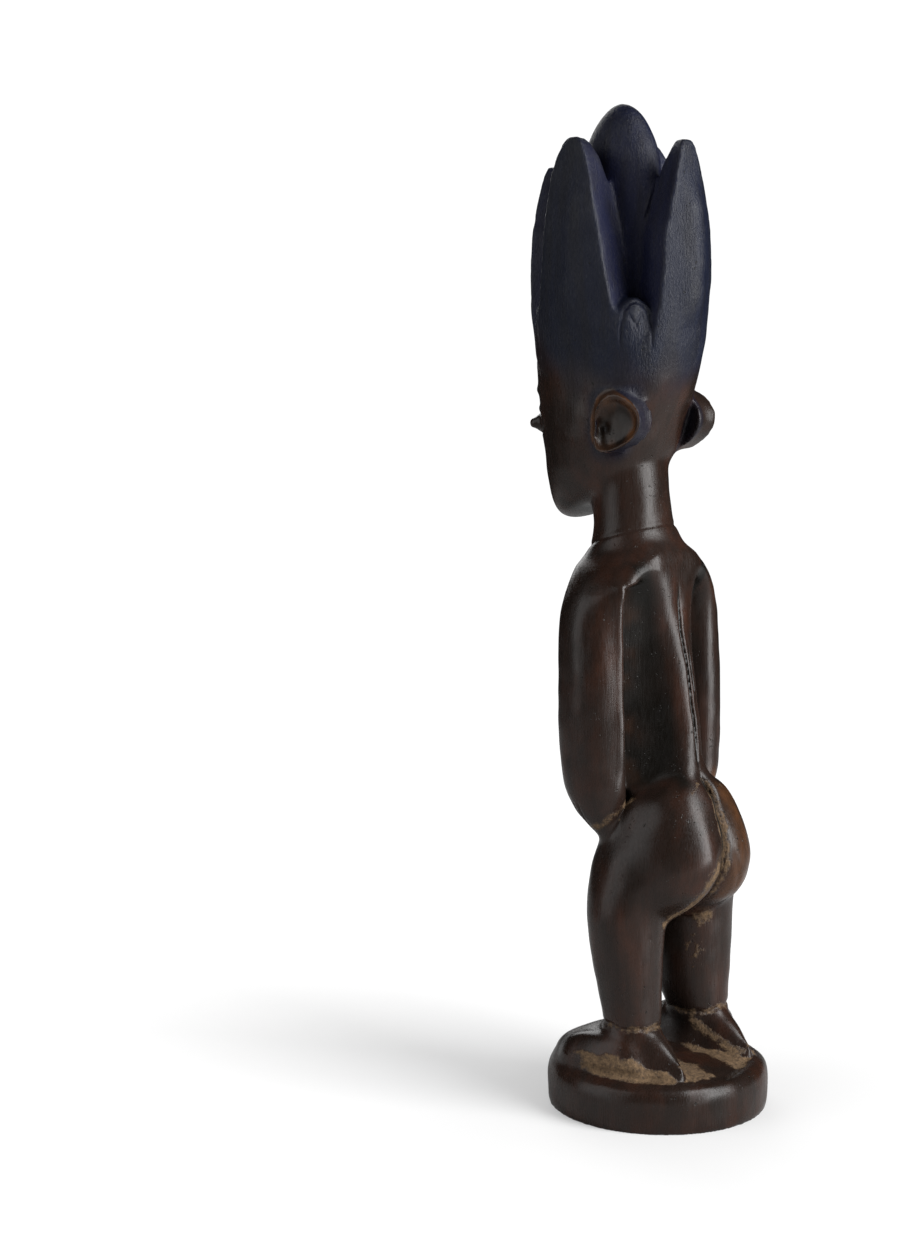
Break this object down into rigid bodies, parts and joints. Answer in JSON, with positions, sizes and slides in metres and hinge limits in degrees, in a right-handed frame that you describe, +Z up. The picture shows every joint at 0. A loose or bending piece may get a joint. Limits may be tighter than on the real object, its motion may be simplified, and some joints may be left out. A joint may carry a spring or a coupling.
{
  "type": "ibeji figure",
  "caption": "Standing carved wooden twin figure with a tall lobed headdress of hair, arms held at its sides, on a round plinth.",
  "frame": {"origin": "middle of the plinth's underside", "axes": "+Z up, the figure faces -Y and its left hand is on +X"},
  "size_m": [0.0628, 0.0756, 0.281],
  "materials": {
    "dark_wood": "dark brown handled wood with a soft gloss, the hair rubbed with indigo, pale dust in the hollows"
  },
  "bodies": {
    "root": {"ibeji_figure": "dark_wood"}
  },
  "joints": []
}
